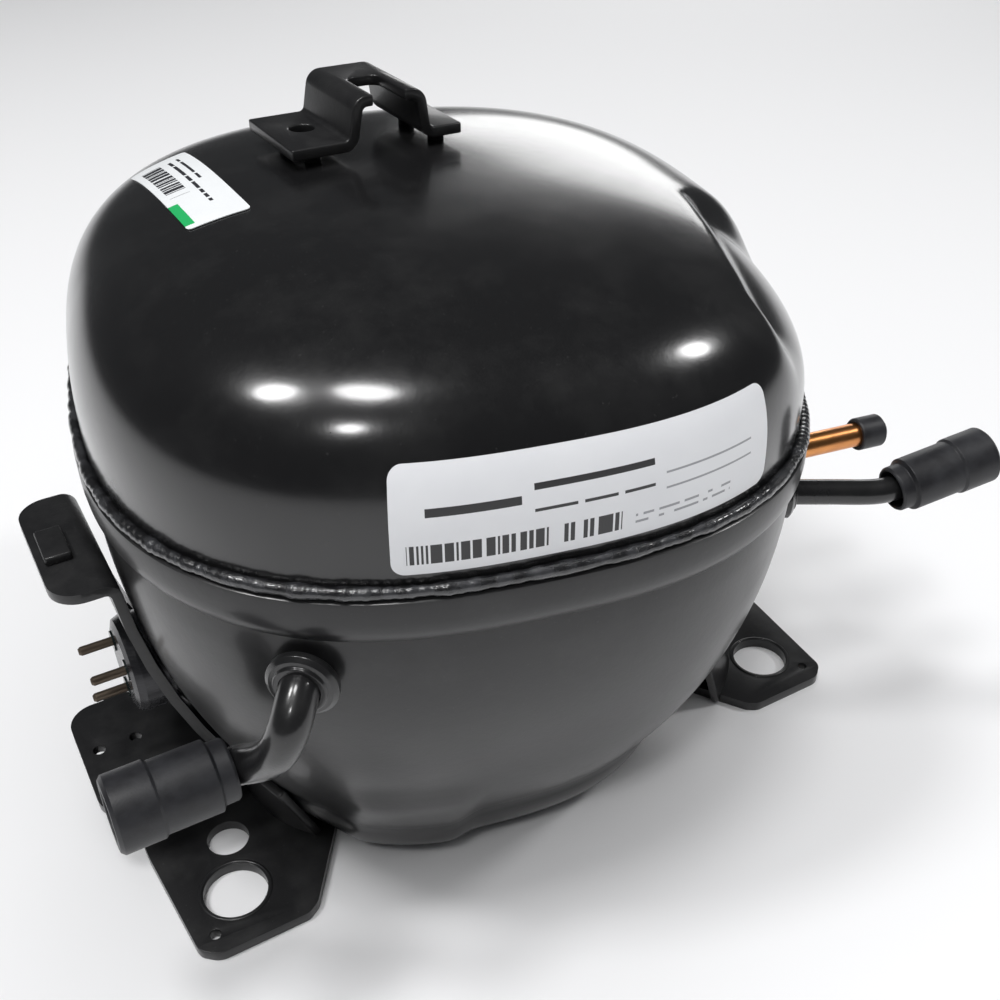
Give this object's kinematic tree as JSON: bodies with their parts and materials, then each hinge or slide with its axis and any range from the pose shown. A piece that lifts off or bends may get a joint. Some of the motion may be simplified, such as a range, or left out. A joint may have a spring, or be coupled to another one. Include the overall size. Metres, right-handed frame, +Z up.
{
  "type": "hermetic reciprocating compressor",
  "caption": "Welded-shell refrigeration compressor on two feet, with glass-sealed terminals, capped pipe stubs and a spring-hung motor and piston pump inside.",
  "frame": {"origin": "centre of the rectangle of mounting holes, on the underside of the feet", "axes": "+Z up; X along the feet, with the terminals at -X and the suction and discharge pipes at +X; +Y away from the rating label"},
  "size_m": [0.2225, 0.1912, 0.175],
  "materials": {
    "black_enamel": "baked black enamel, satin to gloss",
    "cup_steel": "bare stamped steel",
    "glass_seal": "fused glass",
    "pin_metal": "dull plated pin",
    "cluster_plastic": "moulded nylon",
    "copper": "drawn copper, bright",
    "cap_rubber": "moulded black rubber",
    "label_film": "printed white film",
    "spring_steel": "hard-drawn wire",
    "stamped_steel": "plain stamped sheet",
    "seat_plastic": "moulded nylon",
    "lamination": "stacked electrical steel",
    "slot_paper": "polyester film",
    "winding": "varnished copper wire",
    "bolt_steel": "zinc-plated screws",
    "cast_aluminium": "die-cast aluminium",
    "shaft_steel": "ground steel",
    "iron": "grey iron casting",
    "thin_steel": "thin drawn steel",
    "bronze": "bearing bronze",
    "gasket": "fibre gasket",
    "wire_insulation": "sleeved lead wires"
  },
  "bodies": {
    "housing": {"lower_shell": "black_enamel", "upper_shell": "black_enamel", "weld_bead": "black_enamel", "foot_left": "black_enamel", "foot_right": "black_enamel", "top_bracket": "black_enamel", "terminal_bracket": "black_enamel", "terminal_cup": "cup_steel", "glass_seals": "glass_seal", "terminal_pins": "pin_metal", "cluster_block": "cluster_plastic", "process_collar": "black_enamel", "suction_collar": "black_enamel", "discharge_collar": "black_enamel", "process_pipe": "black_enamel", "suction_pipe": "black_enamel", "discharge_pipe": "copper", "rating_label": "label_film", "stock_label": "label_film", "spring_pegs": "stamped_steel", "spring_1": "spring_steel", "spring_2": "spring_steel", "spring_3": "spring_steel", "spring_4": "spring_steel", "discharge_loop": "copper", "lead_wires": "wire_insulation"},
    "process_cap": {"process_cap": "cap_rubber"},
    "suction_cap": {"suction_cap": "cap_rubber"},
    "discharge_cap": {"discharge_cap": "cap_rubber"},
    "pump": {"spring_seats": "seat_plastic", "stator_core": "lamination", "slot_liners": "slot_paper", "upper_winding": "winding", "lower_winding": "winding", "stator_bolts": "bolt_steel", "cylinder_block": "iron", "thrust_washer": "bronze", "valve_plate_gasket": "gasket", "valve_plate": "stamped_steel", "discharge_stop": "stamped_steel", "head_gasket": "gasket", "cylinder_head": "cast_aluminium", "head_bolts": "bolt_steel", "suction_muffler": "seat_plastic", "muffler_cover": "seat_plastic", "discharge_muffler": "iron"},
    "crank": {"rotor_core": "lamination", "rotor_rings": "cast_aluminium", "crankshaft": "shaft_steel", "counterweight": "iron", "oil_pickup": "thin_steel"},
    "gallery_plug": {"oil_gallery_plug": "bronze"},
    "piston": {"piston": "shaft_steel"},
    "retainer": {"ball_retainer": "thin_steel"},
    "ball": {"wrist_ball": "shaft_steel"},
    "rod": {"connecting_rod": "shaft_steel"},
    "suction_reed": {"suction_reed": "thin_steel"},
    "discharge_reed": {"discharge_reed": "thin_steel"}
  },
  "joints": [
    {"name": "crank_spin", "type": "hinge", "parent": "pump", "child": "crank", "pos_m": [-0.00683, 0.00209, 0.09], "axis": [0, 0, 1], "continuous": true},
    {"name": "plug_turn", "type": "hinge", "parent": "crank", "child": "gallery_plug", "pos_m": [-0.01084, 0.00294, 0.118], "axis": [0, 0, 1], "continuous": true},
    {"name": "piston_stroke", "type": "hinge", "parent": "gallery_plug", "child": "piston", "pos_m": [-0.00683, 0.00209, 0.118], "axis": [0, 0, 1], "continuous": true},
    {"name": "retainer_turn", "type": "hinge", "parent": "piston", "child": "retainer", "pos_m": [0.00224, 0.04475, 0.118], "axis": [0.2079, 0.9781, 0], "continuous": true},
    {"name": "ball_turn", "type": "hinge", "parent": "retainer", "child": "ball", "pos_m": [0.00224, 0.04475, 0.118], "axis": [0.2985, 0.9544, 0], "continuous": true},
    {"name": "rod_swing", "type": "hinge", "parent": "ball", "child": "rod", "pos_m": [0.00224, 0.04475, 0.118], "axis": [0.3866, 0.9223, 0], "continuous": true},
    {"name": "suction_reed_flex", "type": "hinge", "parent": "pump", "child": "suction_reed", "pos_m": [0.0116, 0.06474, 0.111], "axis": [0.9781, -0.2079, 0], "range_deg": [0, 3], "stiffness_Nm_per_rad": 0.02},
    {"name": "discharge_reed_flex", "type": "hinge", "parent": "pump", "child": "discharge_reed", "pos_m": [0.00246, 0.06985, 0.111], "axis": [-0.9781, 0.2079, 0], "range_deg": [0, 3], "stiffness_Nm_per_rad": 0.02},
    {"name": "pump_float", "type": "slide", "parent": "housing", "child": "pump", "axis": [0, 0, 1], "range_m": [-0.002, 0.002], "stiffness_N_per_m": 14000, "springref_m": 0.00294, "deforming": ["spring_1", "spring_2", "spring_3", "spring_4", "discharge_loop", "lead_wires"]},
    {"name": "process_cap_pull", "type": "slide", "parent": "housing", "child": "process_cap", "axis": [-1, 0, 0], "range_m": [0, 0.04]},
    {"name": "suction_cap_pull", "type": "slide", "parent": "housing", "child": "suction_cap", "axis": [0.964, -0.1842, 0.1918], "range_m": [0, 0.04]},
    {"name": "discharge_cap_pull", "type": "slide", "parent": "housing", "child": "discharge_cap", "axis": [0.9877, -0.1564, 0], "range_m": [0, 0.04]}
  ],
  "couplings": [
    {"joint": "plug_turn", "follows": "crank_spin", "ratio": -2},
    {"joint": "piston_stroke", "follows": "crank_spin", "ratio": 1},
    {"joint": "retainer_turn", "follows": "crank_spin", "ratio": 1},
    {"joint": "ball_turn", "follows": "crank_spin", "ratio": -2},
    {"joint": "rod_swing", "follows": "crank_spin", "ratio": 1}
  ]
}
